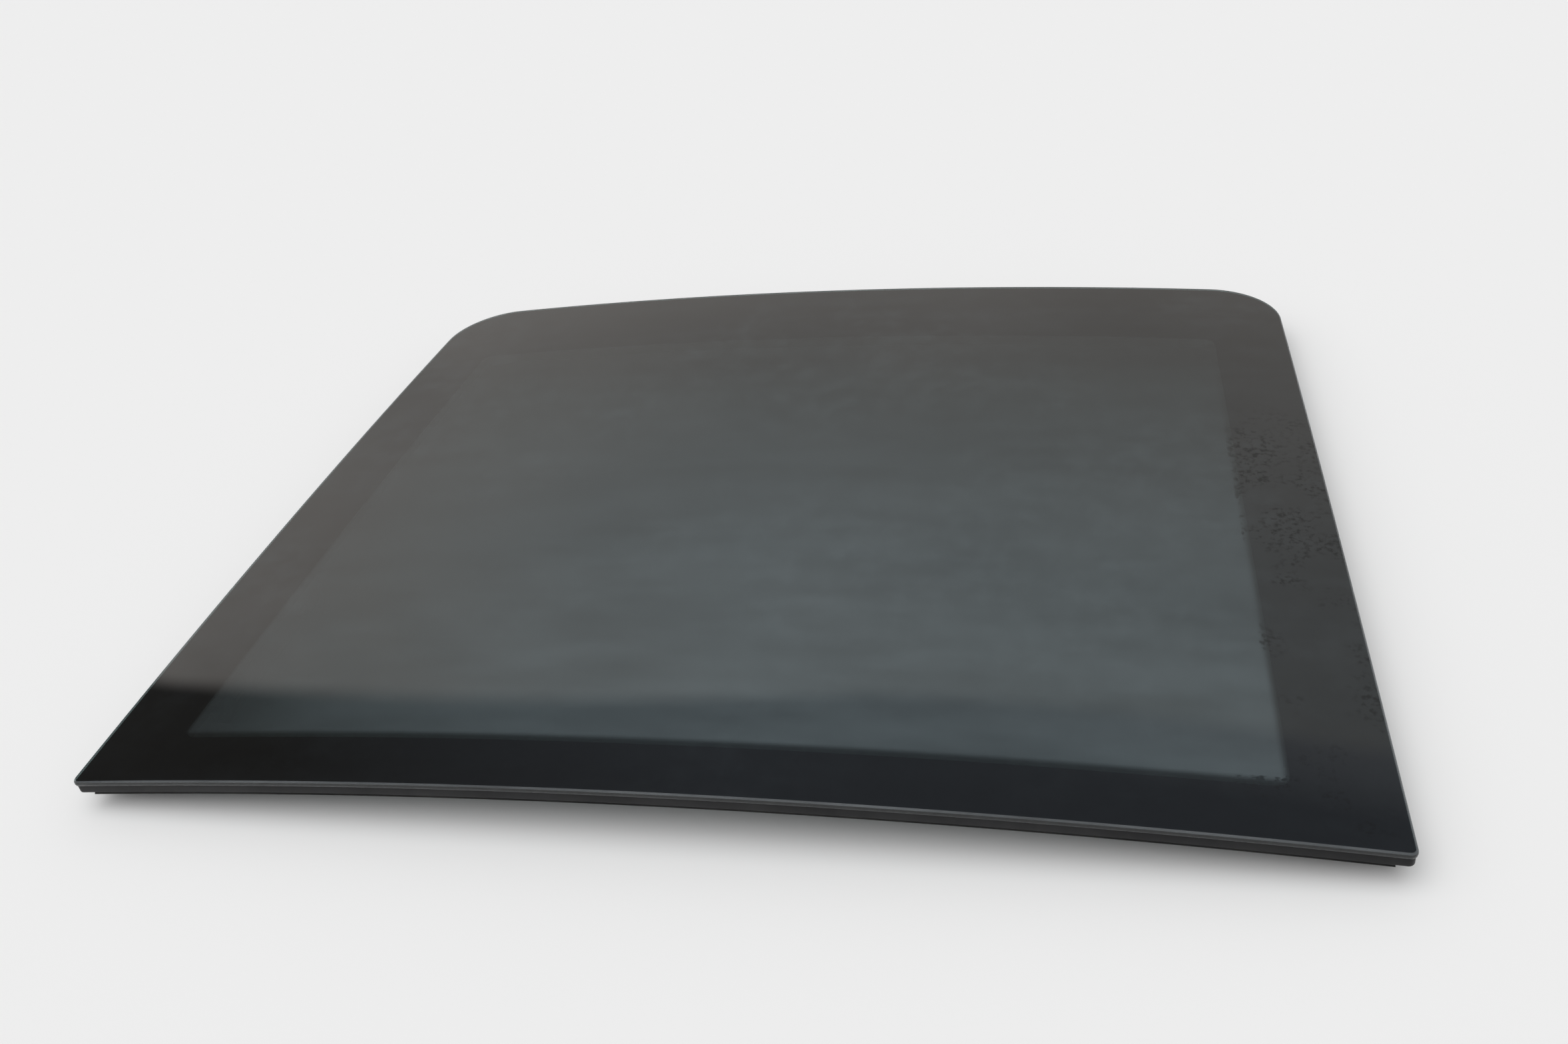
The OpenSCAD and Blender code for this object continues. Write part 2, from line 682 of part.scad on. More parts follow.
// A front bracket: the flange above, and a rounded ear that carries the swivel pin.
module front_bracket(side) {
    ear_inner = ear_outer - shoe_bracket_sheet;
    ear_radius = pin_height;
    rear_root = -ear_radius - 14;
    front_root = ear_radius + 4;
    to_pin = pin_y - shoe_bracket_y;
    rear_top = flange_z(ear_outer, shoe_bracket_y, to_pin + rear_root, shoe_flange_depth);
    front_top = flange_z(ear_outer, shoe_bracket_y, to_pin + front_root, shoe_flange_depth);
    color([0.55, 0.56, 0.58])
        union() {
            bracket_flange(side, shoe_flange);
            difference() {
                upright(side, ear_inner, pin_y, shoe_bracket_sheet)
                    union() {
                        translate([0, pin_height])
                            circle(r = ear_radius, $fn = curve_steps);
                        polygon([[-ear_radius, pin_height], [ear_radius, pin_height],
                                 [front_root, front_top], [rear_root, rear_top]]);
                    }
                translate([side * (ear_inner - cut_over), pin_y, pin_height])
                    rotate([0, side * 90, 0])
                        cylinder(h = shoe_bracket_sheet + 2 * cut_over, d = pin_diameter + 2 * fit_gap,
                                 $fn = curve_steps);
            }
        }
}

// ---- Fasteners and stops ----

// One screw standing in a hole through a flange of the given sheet, with its head below.
module bracket_screw(sheet) {
    shank = washer_thickness + sheet + rail_sheet + nut_height + 1;
    recess = 2;
    translate([0, 0, -washer_thickness - fit_gap])
        difference() {
            union() {
                translate([0, 0, -head_height])
                    cylinder(h = head_height, d = screw_head, $fn = curve_steps);
                cylinder(h = shank, d = screw_diameter - 2 * fit_gap, $fn = curve_steps);
            }
            translate([0, 0, -head_height - cut_over])
                cylinder(h = recess + cut_over, d = screw_head / 2, $fn = 6);
        }
}

module bracket_screws() {
    color([0.32, 0.32, 0.34])
        for (side = [LEFT, RIGHT], flange = [lift_flange, shoe_flange])
            at_flange_screws(side, flange)
                bracket_screw(flange[3]);
}

module washer() {
    translate([0, 0, -washer_thickness])
        difference() {
            cylinder(h = washer_thickness - fit_gap, d = screw_head + 3, $fn = curve_steps);
            translate([0, 0, -cut_over])
                cylinder(h = washer_thickness + 2 * cut_over, d = screw_diameter + 0.4, $fn = curve_steps);
        }
}

module screw_washers() {
    color([0.62, 0.63, 0.65])
        for (side = [LEFT, RIGHT], flange = [lift_flange, shoe_flange])
            at_flange_screws(side, flange)
                washer();
}

module weld_nut() {
    translate([0, 0, contact_gap])
        difference() {
            cylinder(h = nut_height, d = nut_flats / cos(30), $fn = 6);
            translate([0, 0, -cut_over])
                cylinder(h = nut_height + 2 * cut_over, d = screw_diameter, $fn = curve_steps);
        }
}

module weld_nuts() {
    color([0.45, 0.45, 0.47])
        for (side = [LEFT, RIGHT], flange = [lift_flange, shoe_flange])
            at_floor_screws(side, flange)
                weld_nut();
}

front_stop_x = 250;
front_stop_y = half_length - web_inset - 2 * bend - stop_diameter / 2;
rear_stop_x = 300;
rear_stop_y = -half_length + frame_inset + rear_rail_width / 2 - 0.4;
stop_neck = 7;
module stop_hole() {
    translate([0, 0, -frame_depth - cut_over])
        cylinder(h = rail_sheet + 2 * cut_over, d = stop_neck + 2 * fit_gap, $fn = curve_steps);
}

// A rubber stop: a tapered pad below the rail, a neck through it and a barb above it.
module stop_buffer() {
    barb_height = 2.4;
    taper = 1.2;
    translate([0, 0, -frame_depth - contact_gap])
        union() {
            translate([0, 0, -stop_height])
                cylinder(h = stop_height, d1 = stop_diameter - 2 * taper, d2 = stop_diameter,
                         $fn = curve_steps);
            cylinder(h = rail_sheet + 2 * contact_gap, d = stop_neck, $fn = curve_steps);
            translate([0, 0, rail_sheet + 2 * contact_gap])
                cylinder(h = barb_height, d1 = stop_neck + 2, d2 = stop_neck - 2, $fn = curve_steps);
        }
}

module stop_buffers() {
    color([0.08, 0.08, 0.08])
        for (x = [-1, 1]) {
            at_face(x * front_stop_x, front_stop_y)
                stop_buffer();
            at_face(x * rear_stop_x, rear_stop_y)
                stop_buffer();
        }
}

// ---- Guide shoes ----

pin_head_width = 2;
side_play = 0.3;
clip_thickness = 1;
clip_groove = 0.8;
shoe_inner = ear_outer + side_play;
pin_end = shoe_inner + shoe_width + side_play + clip_thickness + 1.6;

// Moves its children to the swivel axis, with +Z pointing outwards from the ear's outer face.
module at_pin(side) {
    translate([side * ear_outer, pin_y, pin_height])
        rotate([0, side * 90, 0])
            children();
}

module shoe_pin(side) {
    color([0.66, 0.67, 0.70])
        at_pin(side)
            difference() {
                union() {
                    translate([0, 0, -shoe_bracket_sheet - pin_head_width - fit_gap])
                        cylinder(h = pin_head_width, d = pin_diameter + 4, $fn = curve_steps);
                    translate([0, 0, -shoe_bracket_sheet - fit_gap])
                        cylinder(h = pin_end - ear_outer + shoe_bracket_sheet + fit_gap, d = pin_diameter,
                                 $fn = curve_steps);
                }
                translate([0, 0, 2 * side_play + shoe_width])
                    difference() {
                        cylinder(h = clip_thickness + fit_gap, d = pin_diameter + 2, $fn = curve_steps);
                        translate([0, 0, -cut_over])
                            cylinder(h = clip_thickness + 2 * cut_over, d = pin_diameter - 2 * clip_groove,
                                     $fn = curve_steps);
                    }
            }
}

// An open retaining clip that snaps into the groove at the pin's end.
module pin_clip(side) {
    mouth = pin_diameter - 2 * clip_groove - 1;
    color([0.30, 0.30, 0.32])
        at_pin(side)
            translate([0, 0, 2 * side_play + shoe_width + fit_gap / 2])
                difference() {
                    cylinder(h = clip_thickness, d = pin_diameter + 5, $fn = curve_steps);
                    translate([0, 0, -cut_over])
                        cylinder(h = clip_thickness + 2 * cut_over,
                                 d = pin_diameter - 2 * clip_groove + 2 * fit_gap, $fn = curve_steps);
                    translate([0, -mouth / 2, -cut_over])
                        cube([pin_diameter + 5, mouth, clip_thickness + 2 * cut_over]);
                }
}

// A plastic shoe that runs in the roof's guide rail. Thin slots above and below make its faces springy.
module guide_shoe(side) {
    nose = shoe_height / 2;
    straight = shoe_length / 2 - nose;
    spring_slot = 1.2;
    spring_skin = 1.4;
    spring_from = nose + 1.5;
    color([0.82, 0.80, 0.72])
        at_pin(side)
            translate([0, 0, side_play])
                difference() {
                    union() {
                        for (end = [-1, 1])
                            translate([0, end * straight, 0])
                                cylinder(h = shoe_width, r = nose, $fn = curve_steps);
                        translate([-nose, -straight, 0])
                            cube([shoe_height, 2 * straight, shoe_width]);
                    }
                    translate([0, 0, -cut_over])
                        cylinder(h = shoe_width + 2 * cut_over, r = pin_diameter / 2 + running_clearance,
                                 $fn = curve_steps);
                    for (face = [-1, 1], end = [-1, 1])
                        translate([face * (nose - spring_skin - spring_slot / 2) - spring_slot / 2,
                                   end > 0 ? spring_from - nose / 2 : -straight - cut_over, -cut_over])
                            cube([spring_slot, straight - spring_from + nose / 2 + cut_over,
                                  shoe_width + 2 * cut_over]);
                }
}

glass_pane();
edge_moulding();
perimeter_seal();
rear_lip_seal();
adhesive_bead();
front_rail();
rear_rail();
side_rail(LEFT);  // left_side_rail
side_rail(RIGHT);  // right_side_rail
front_stiffener();
rear_corner_plates();
splice_plates();
lift_bracket(LEFT);  // left_lift_bracket
lift_bracket(RIGHT);  // right_lift_bracket
front_bracket(LEFT);  // left_front_bracket
front_bracket(RIGHT);  // right_front_bracket
bracket_screws();
screw_washers();
weld_nuts();
stop_buffers();
shoe_pin(LEFT);  // left_shoe_pin
shoe_pin(RIGHT);  // right_shoe_pin
pin_clip(LEFT);  // left_pin_clip
pin_clip(RIGHT);  // right_pin_clip
guide_shoe(LEFT);  // left_guide_shoe
guide_shoe(RIGHT);  // right_guide_shoe
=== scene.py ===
"""Tilt-and-slide glass roof vent cover: the finished surfaces and trim round its CAD frame."""

import math

import bmesh
import bpy
from bpy.props import FloatProperty, FloatVectorProperty, PointerProperty
from mathutils import Euler, Matrix, Vector


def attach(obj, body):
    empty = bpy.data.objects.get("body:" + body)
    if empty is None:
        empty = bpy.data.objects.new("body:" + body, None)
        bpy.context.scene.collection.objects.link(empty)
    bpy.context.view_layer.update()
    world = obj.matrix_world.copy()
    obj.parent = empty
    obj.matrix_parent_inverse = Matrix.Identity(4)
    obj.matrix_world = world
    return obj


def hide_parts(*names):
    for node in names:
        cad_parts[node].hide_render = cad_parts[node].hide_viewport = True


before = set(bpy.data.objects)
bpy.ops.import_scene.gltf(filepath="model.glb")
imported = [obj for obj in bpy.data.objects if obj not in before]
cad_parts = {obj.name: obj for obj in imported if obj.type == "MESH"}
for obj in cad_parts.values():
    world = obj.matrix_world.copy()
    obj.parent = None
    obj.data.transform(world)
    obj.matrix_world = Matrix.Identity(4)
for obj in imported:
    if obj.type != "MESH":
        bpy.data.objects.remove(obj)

bl_info = {
    "name": "Glass Roof Vent Cover",
    "version": (1, 0, 0),
    "blender": (4, 5, 0),
    "location": "View3D > Sidebar > Vent Cover",
    "description": "Builds the glass, trim and finishes of a tilt-and-slide glass roof vent cover",
    "category": "Object",
}

MM = 0.001
COVER = "cover"


# ---- What a user can change ----


def length(name, description, default):
    """A length in millimetres, kept in metres."""
    return FloatProperty(name=name, description=description, default=default * MM, unit="LENGTH",
                         subtype="DISTANCE", precision=4)


def colour(name, description, default):
    return FloatVectorProperty(name=name, description=description, default=default, size=3,
                               subtype="COLOR", min=0.0, max=1.0)


def share(name, description, default):
    return FloatProperty(name=name, description=description, default=default, min=0.0, max=1.0,
                         subtype="FACTOR")


class VentCoverSizes(bpy.types.PropertyGroup):
    """Sizes of the pane. The CAD frame has them too, and new pieces lie where its own do."""

    rear_width: length("Rear width", "Width of the pane across its rear edge", 1000)
    front_taper: length("Front taper", "How much narrower the pane's front edge is", 54)
    cover_length: length("Length", "Length of the pane from rear to front", 808)
    front_radius: length("Front corners", "Radius of the two front corners", 70)
    rear_radius: length("Rear corners", "Radius of the two rear corners", 6)
    cross_crown: length("Cross crown", "Rise of the middle above the side edges", 20.5)
    length_crown: length("Length crown", "Rise of the middle above the end edges", 7)
    corner_height: length("Corner height", "Height of the outer face at the rear corners", 32)
    glass: length("Glass", "Thickness of the glass", 5)
    ground_radius: length("Ground edge", "Radius that the pane's edges are ground to", 1.7)
    border_rear: length("Border, rear", "Width of the printed border along the rear edge", 51)
    border_side: length("Border, sides", "Width of the printed border along the sides", 72)
    border_front: length("Border, front", "Width of the printed border along the front", 122)
    border_corner: length("Border corners", "Radius inside the printed border's corners", 11)


class VentCoverColours(bpy.types.PropertyGroup):
    """Colours of the finishes, and how much the painted light from below and the dust hide."""

    glass_tint: colour("Glass tint", "Share of light that the glass passes", (0.050, 0.065, 0.064))
    ground_edge: colour("Ground edge", "The ground edge of the glass", (0.30, 0.42, 0.43))
    printed_border: colour("Printed border", "Fired ceramic print", (0.012, 0.012, 0.013))
    moulding: colour("Moulding", "Moulded edge round the pane", (0.011, 0.011, 0.012))
    rubber: colour("Rubber", "Seals and stops", (0.016, 0.016, 0.016))
    glue: colour("Glue", "Cured glue between glass and frame", (0.012, 0.012, 0.012))
    coating: colour("Frame coating", "Dip coating of the pressed frame", (0.030, 0.031, 0.033))
    zinc: colour("Zinc", "Zinc plating of the brackets", (0.52, 0.53, 0.54))
    screw: colour("Screws", "Coating of the screws and clips", (0.09, 0.09, 0.095))
    shoe: colour("Guide shoes", "Plastic of the guide shoes", (0.68, 0.66, 0.58))
    dust: colour("Dust", "Dust on the frame and trim", (0.42, 0.41, 0.38))
    # The colour of the painted light from below, which the dust film shares, and how much of that
    # painted light shows at the rear.
    painted_light_and_dust: colour("Haze", "Haze in the clear part of the glass", (0.50, 0.60, 0.64))
    painted_light_at_rear: share("Haze at the rear", "How much the haze hides at the rear", 0.095)
    film: share("Film", "How much of the outer face a film of dust hides", 0.008)


# ---- The crowned pane as a shape ----


def arc_radius(half_chord, rise):
    return (half_chord**2 + rise**2) / (2 * rise)


def arc(x, y, radius, first, last, steps):
    """Points round x, y from one angle to another."""
    turns = [first + (last - first) * i / steps for i in range(steps + 1)]
    return [(x + radius * math.cos(a), y + radius * math.sin(a)) for a in turns]


def between(a, b, steps):
    """Points between a and b, without either."""
    return [(a[0] + (b[0] - a[0]) * i / steps, a[1] + (b[1] - a[1]) * i / steps)
            for i in range(1, steps)]


def mirrored(points):
    return [(-x, y) for x, y in reversed(points)]


class Pane:
    """The pane's outline and crown. Depth is measured down from the outer face."""

    LEAST_RADIUS = 0.6 * MM
    REAR_CORNER_STEPS = 5
    SIDE_STEPS = 32
    FRONT_CORNER_STEPS = 20
    EDGE_STEPS = 40

    def __init__(self, sizes):
        self.half_width = sizes.rear_width / 2
        self.half_length = sizes.cover_length / 2
        self.lean = math.atan(sizes.front_taper / 2 / sizes.cover_length)
        self.front_radius = sizes.front_radius
        self.rear_radius = sizes.rear_radius
        self.cross_radius = arc_radius(self.half_width, sizes.cross_crown)
        self.length_radius = arc_radius(self.half_length, sizes.length_crown)
        self.apex = sizes.corner_height + self.fall(self.half_width, self.half_length, 0.0)

    def fall(self, x, y, depth):
        """How far the surface at this depth lies below the middle of the outer face."""
        along = math.sqrt((self.length_radius - depth) ** 2 - y * y)
        ring = self.cross_radius - self.length_radius + along
        return self.cross_radius - math.sqrt(ring * ring - x * x)

    def side(self, y, inset):
        """Half width of the outline at y, this far in from the edge."""
        reach = (y + self.half_length) * math.tan(self.lean)
        return self.half_width - reach - inset / math.cos(self.lean)

    def turn(self, front):
        """The angles between which a right-hand corner turns, anticlockwise."""
        return (self.lean, math.pi / 2) if front else (-math.pi / 2, self.lean)

    def corner(self, inset, front, steps):
        """Points round one right-hand corner, anticlockwise."""
        radius = max((self.front_radius if front else self.rear_radius) - inset, self.LEAST_RADIUS)
        y = self.half_length - inset - radius
        y = y if front else -y
        return arc(self.side(y, inset + radius), y, radius, *self.turn(front), steps)

    def right_side(self, inset):
        """The right side from the rear edge to the front edge."""
        rear = self.corner(inset, False, self.REAR_CORNER_STEPS)
        front = self.corner(inset, True, self.FRONT_CORNER_STEPS)
        return rear + between(rear[-1], front[0], self.SIDE_STEPS) + front

    def across_front(self, right):
        """A path up the right side, across the front and down the left side."""
        left = mirrored(right)
        return right + between(right[-1], left[0], self.EDGE_STEPS) + left

    def outline(self, inset):
        """The whole outline, anticlockwise from the right end of the rear edge."""
        path = self.across_front(self.right_side(inset))
        return path + between(path[-1], path[0], self.EDGE_STEPS)

    def bend(self, bm):
        """Turns a flat piece, with depth as negative height, into one that follows the crown."""
        for v in bm.verts:
            v.co.z = self.apex - self.fall(v.co.x, v.co.y, -v.co.z)


# ---- Making a piece ----


def only(kind, geom):
    return [g for g in geom if isinstance(g, kind)]


def in_metres(points):
    return [(x * MM, y * MM) for x, y in points]


def loop(bm, points):
    """A closed chain of edges through flat points, which are (x, y, depth)."""
    verts = [bm.verts.new((x, y, -depth)) for x, y, depth in points]
    return verts, [bm.edges.new(pair) for pair in zip(verts, verts[1:] + verts[:1])]


def sweep(bm, section, path, closed):
    """Extrudes a closed section of (inset, depth) along a path, which gives plan points for an
    inset. Returns the edges of its two ends."""
    plans = [path(inset) for inset, _ in section]
    depths = [depth for _, depth in section]
    ring, edges = loop(bm, [(*plan[0], depth) for plan, depth in zip(plans, depths)])
    start = edges
    stations = list(range(1, len(plans[0]))) + ([0] if closed else [])
    for i in stations:
        index = {v.co.to_tuple(): k for k, v in enumerate(ring)}
        made = bmesh.ops.extrude_edge_only(bm, edges=edges)["geom"]
        edges = only(bmesh.types.BMEdge, made)
        ring = only(bmesh.types.BMVert, made)
        ring.sort(key=lambda v: index[v.co.to_tuple()])
        for v, plan, depth in zip(ring, plans, depths):
            v.co = (*plan[i], -depth)
    if closed:
        bmesh.ops.remove_doubles(bm, verts=bm.verts, dist=0.0001 * MM)
    return start, edges


def thicken(bm, faces, depth):
    """Gives flat faces a body of this depth below them."""
    made = bmesh.ops.extrude_face_region(bm, geom=faces)["geom"]
    bmesh.ops.translate(bm, verts=only(bmesh.types.BMVert, made), vec=(0, 0, -depth))
    bmesh.ops.recalc_face_normals(bm, faces=bm.faces)


def slice_up(bm, pane, pitch=25 * MM):
    """Cuts a flat piece along a grid, so that it can follow the pane's crown."""
    for axis, half in ((0, pane.half_width), (1, pane.half_length)):
        count = int(half / pitch)
        for i in range(-count, count + 1):
            at, normal = Vector(), Vector()
            at[axis], normal[axis] = i * pitch, 1
            bmesh.ops.bisect_plane(bm, geom=bm.verts[:] + bm.edges[:] + bm.faces[:],
                                   dist=0.001 * MM, plane_co=at, plane_no=normal)


def lies_flat(edge):
    """Whether an edge of a piece that isn't bent yet keeps to one depth."""
    return abs(edge.verts[0].co.z - edge.verts[1].co.z) < 0.1 * MM


def round_edges(bm, radius, segments=3, sharper_than=35, keep=lambda edge: True):
    """Rounds every edge that turns by more than an angle in degrees."""
    limit = math.radians(sharper_than)
    edges = [e for e in bm.edges if e.is_manifold and e.calc_face_angle() > limit and keep(e)]
    bmesh.ops.bevel(bm, geom=edges, offset=radius, offset_type="OFFSET", segments=segments,
                    profile=0.5, affect="EDGES", clamp_overlap=True, material=-1)


def ring_under(pane, section, **rounding):
    """A ring of one section, given in millimetres, all round under the pane."""
    bm = bmesh.new()
    sweep(bm, in_metres(section), pane.outline, closed=True)
    bmesh.ops.recalc_face_normals(bm, faces=bm.faces)
    round_edges(bm, **rounding)
    pane.bend(bm)
    return bm


def make_piece(name, bm, materials, replaces=None):
    """Turns a bmesh into a smooth-shaded piece of the cover, which may stand for a CAD node."""
    bmesh.ops.recalc_face_normals(bm, faces=bm.faces)
    smooth_up_to = math.radians(32)
    for face in bm.faces:
        face.smooth = True
    for edge in bm.edges:
        if edge.is_manifold and edge.calc_face_angle() > smooth_up_to:
            edge.smooth = False
    mesh = bpy.data.meshes.new(name)
    bm.to_mesh(mesh)
    bm.free()
    for material in materials:
        mesh.materials.append(material)
    piece = bpy.data.objects.new(name, mesh)
    bpy.context.scene.collection.objects.link(piece)
    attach(piece, COVER)
    if replaces:
        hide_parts(replaces)


# ---- Node trees ----


def scaled(tint, factor):
    return tuple(min(1.0, c * factor) for c in tint)


def opaque(tint):
    return (*tint, 1.0)


class NodeTree:
    """A tree that is built a node at a time. Its place is a point in metres on a piece, and in
    the world a direction."""

    def __init__(self, tree, coordinates="Object"):
        self.tree = tree
        self.tree.nodes.clear()
        self.place = self.add("TexCoord").outputs[coordinates]

    def add(self, kind, inputs=None, **settings):
        node = self.tree.nodes.new("ShaderNode" + kind)
        for key, value in settings.items():
            setattr(node, key, value)
        for key, value in (inputs or {}).items():
            if isinstance(value, bpy.types.NodeSocket):
                self.tree.links.new(value, node.inputs[key])
            else:
                node.inputs[key].default_value = value
        return node

    def split(self, vector):
        """The X, Y and Z of a vector."""
        return self.add("SeparateXYZ", {0: vector}).outputs[:]

    def stretched(self, scale, turn=0.0):
        """The place, turned about Z by degrees and scaled along each axis."""
        rotation = (0, 0, math.radians(turn))
        turned = self.add("Mapping", {"Vector": self.place, "Rotation": rotation, "Scale": scale})
        return turned.outputs["Vector"]

    def noise(self, scale, detail=4.0, roughness=0.5, place=None):
        node = self.add("TexNoise", {"Vector": place or self.place, "Scale": scale,
                                     "Detail": detail, "Roughness": roughness})
        return node.outputs["Fac"]

    def fit(self, value, low, high, to_low=0.0, to_high=1.0, smooth=False):
        """Moves a value from one range to another, and holds it there."""
        node = self.add("MapRange", {"Value": value, "From Min": low, "From Max": high,
                                     "To Min": to_low, "To Max": to_high},
                        interpolation_type="SMOOTHSTEP" if smooth else "LINEAR")
        return node.outputs["Result"]

    def calc(self, kind, a, b=0.0):
        """One step of arithmetic, named as Blender names it."""
        return self.add("Math", {0: a, 1: b}, operation=kind).outputs[0]

    def times(self, first, *others):
        for other in others:
            first = self.calc("MULTIPLY", first, other)
        return first

    def plus(self, a, b):
        return self.calc("ADD", a, b)

    def blend(self, share_of_second, first, second):
        """Blends two colours, each a socket or three numbers."""
        first, second = (c if isinstance(c, bpy.types.NodeSocket) else opaque(c)
                         for c in (first, second))
        node = self.add("Mix", {0: share_of_second, 6: first, 7: second}, data_type="RGBA")
        return node.outputs[2]

    def mix(self, share_of_second, first, second):
        """Mixes two shaders."""
        return self.add("MixShader", {0: share_of_second, 1: first, 2: second}).outputs[0]


class Finish(NodeTree):
    """A material, whose patterns are laid out on Object coordinates."""

    def __init__(self, name):
        self.material = bpy.data.materials.new(name)
        self.material.use_nodes = True
        super().__init__(self.material.node_tree)

    def mottled(self, tint, pattern, darker, lighter):
        """A colour that wanders between a darker and a lighter shade of itself."""
        return self.blend(self.fit(pattern, 0.35, 0.65), scaled(tint, darker), scaled(tint, lighter))

    def rough(self, pattern, low, high):
        return self.fit(pattern, 0.3, 0.7, low, high)

    def bump(self, height, strength, distance):
        inputs = {"Height": height, "Strength": strength, "Distance": distance}
        return self.add("Bump", inputs).outputs["Normal"]

    def matt(self, tint):
        """A dull surface, from a socket or three numbers."""
        tint = tint if isinstance(tint, bpy.types.NodeSocket) else opaque(tint)
        return self.add("BsdfDiffuse", {"Color": tint, "Roughness": 1.0}).outputs[0]

    def surface(self, **inputs):
        """A Principled shader, with underscores for the spaces in its inputs' names."""
        named = {key.replace("_", " "): value for key, value in inputs.items()}
        return self.add("BsdfPrincipled", named).outputs["BSDF"]

    def done(self, shader):
        self.add("OutputMaterial", {"Surface": shader})
        return self.material


# ---- Finishes of the glass ----

GLASS_IOR = 1.52

# Stretches in metres over which the painted light from below and the dried spots fade.
PAINTED_LIGHT_LEFT = (-0.42, -0.15)        # along X, where the painted light from below is faint at the left
SPOTS_RIGHT = (0.38, 0.40)        # along X, with spots to the right of it only
SPOTS_REAR = (-0.2, 0.05)         # along Y, with fewer patches of spots behind it
SPOTS_FRONT = (0.06, 0.15)        # along Y, with no spots in front of it


def let_lamps_through(f, shader, tint):
    """Lamps reach what lies under the glass, darkened by its tint, half of it at each face."""
    half_tint = tuple(math.sqrt(c) for c in tint)
    passing = f.add("BsdfTransparent", {"Color": opaque(half_tint)}).outputs[0]
    return f.mix(f.add("LightPath").outputs["Is Shadow Ray"], shader, passing)


def clear_part(f, x, y, fade=7 * MM):
    """1 inside the printed border and 0 over it, and how far along the clear part a point lies,
    from 0 at its rear to 1 near its front."""
    sizes = bpy.context.scene.vent_cover_sizes
    pane = Pane(sizes)
    rear = -pane.half_length + sizes.border_rear
    front = pane.half_length - sizes.border_front
    middle_half = pane.side(0, sizes.border_side)
    out = f.plus(f.calc("ABSOLUTE", x), f.times(y, math.tan(pane.lean)))
    inside = f.times(f.fit(out, middle_half - fade, middle_half, 1.0, 0.0, smooth=True),
                     f.fit(y, rear, rear + fade, smooth=True),
                     f.fit(y, front - fade, front, 1.0, 0.0, smooth=True))
    return inside, f.fit(y, rear, front * 0.8)


def painted_light_from_below(f, x, inside, along, painted_light_at_rear):
    """Painted light from below: a pale film in the clear part that stands in for light coming up
    through the glass, most at the rear and least at the left, in faint patches.
    """
    unevenness = f.noise(1.0, 4, 0.55, f.stretched((7, 26, 7), 6))
    return f.times(inside, f.fit(along, 0.0, 1.0, painted_light_at_rear, 0.0),
                   f.fit(x, *PAINTED_LIGHT_LEFT, 0.3, 1.0), f.fit(unevenness, 0.3, 0.7, 0.75, 1.25))


def dust_film(f, along, cover):
    """A thin film of dust: smudges in clouds and wiped streaks, thinner along the rear."""
    clouds = f.fit(f.noise(4.5, 3, 0.55), 0.38, 0.66, 0.15, 1.25, smooth=True)
    smudges = f.fit(f.noise(38, 5, 0.6), 0.44, 0.66, 0.2, 2.0)
    streaks = f.noise(1.0, 5, 0.6, f.stretched((5, 38, 5), 24))
    wiped = f.fit(streaks, 0.42, 0.72, 0.0, 0.9, smooth=True)
    grain = f.fit(f.noise(900, 2), 0.35, 0.65, 0.6, 1.3)
    return f.times(f.plus(f.times(clouds, smudges), wiped), cover, grain,
                   f.fit(along, 0.0, 0.25, 0.3, 1.0))


def dried_spots(f, x, y, inside):
    """Dried spots in patches, on the right side of the border and behind its front part."""
    spots = f.fit(f.noise(190, 3, 0.6), 0.48, 0.68, smooth=True)
    patches = f.plus(f.noise(21, 4), f.fit(y, *SPOTS_REAR, -0.05, 0.06))
    patches = f.fit(patches, 0.47, 0.62, smooth=True)
    placed = f.times(f.fit(x, *SPOTS_RIGHT), f.fit(y, *SPOTS_FRONT, 1.0, 0.0))
    return f.times(spots, patches, placed, f.calc("SUBTRACT", 1.0, inside))


def tinted_glass(colours):
    """Tinted safety glass with dust and dried spots on its outer face, and a pale matt film in its
    clear part that is painted light coming up through the glass from below.
    """
    f = Finish("tinted_glass")
    tint = colours.glass_tint
    glass = f.surface(Base_Color=opaque(tint), Roughness=0.0, IOR=GLASS_IOR,
                      Transmission_Weight=1.0)
    x, y, _ = f.split(f.place)
    inside, along = clear_part(f, x, y)
    dried = dried_spots(f, x, y, inside)
    # The film is painted light from below plus real dust, with the dried spots over it. The dusty
    # shader is its pale matt colour and carries both.
    film = f.plus(painted_light_from_below(f, x, inside, along, colours.painted_light_at_rear), dust_film(f, along, colours.film))
    spot_cover, spot_colour = 0.45, scaled(colours.dust, 0.04)
    film = f.calc("MAXIMUM", film, f.times(dried, spot_cover))
    dusty = f.matt(f.blend(f.fit(dried, 0.0, 0.05), colours.painted_light_and_dust, spot_colour))
    return f.done(let_lamps_through(f, f.mix(film, glass, dusty), tint))


def ground_edge(colours):
    """The ground edge: glassy down its face, with a pale matt frost on its upward-facing corner that
    is partly frost and partly a painted highlight.
    """
    f = Finish("ground_edge")
    tint = colours.ground_edge
    grain = f.noise(900, 3)
    glassy = f.surface(Base_Color=opaque(tint), Roughness=f.rough(grain, 0.12, 0.22),
                       IOR=GLASS_IOR, Transmission_Weight=1.0, Normal=f.bump(grain, 0.06, 0.1 * MM))
    slope = f.split(f.add("TexCoord").outputs["Normal"])[2]
    # Painted highlight: the pale matt frost goes on the upward-facing faces only, so the top corner
    # reads lighter as if lit from above.
    frost_and_painted_highlight = f.times(f.fit(slope, 0.30, 0.60, 0.0, 0.16),
                      f.fit(f.noise(12, 4), 0.35, 0.65, 0.55, 1.1))
    frost_and_highlight_colour = (0.60, 0.64, 0.67)
    edge = f.mix(frost_and_painted_highlight, glassy, f.matt(frost_and_highlight_colour))
    return f.done(let_lamps_through(f, edge, tint))


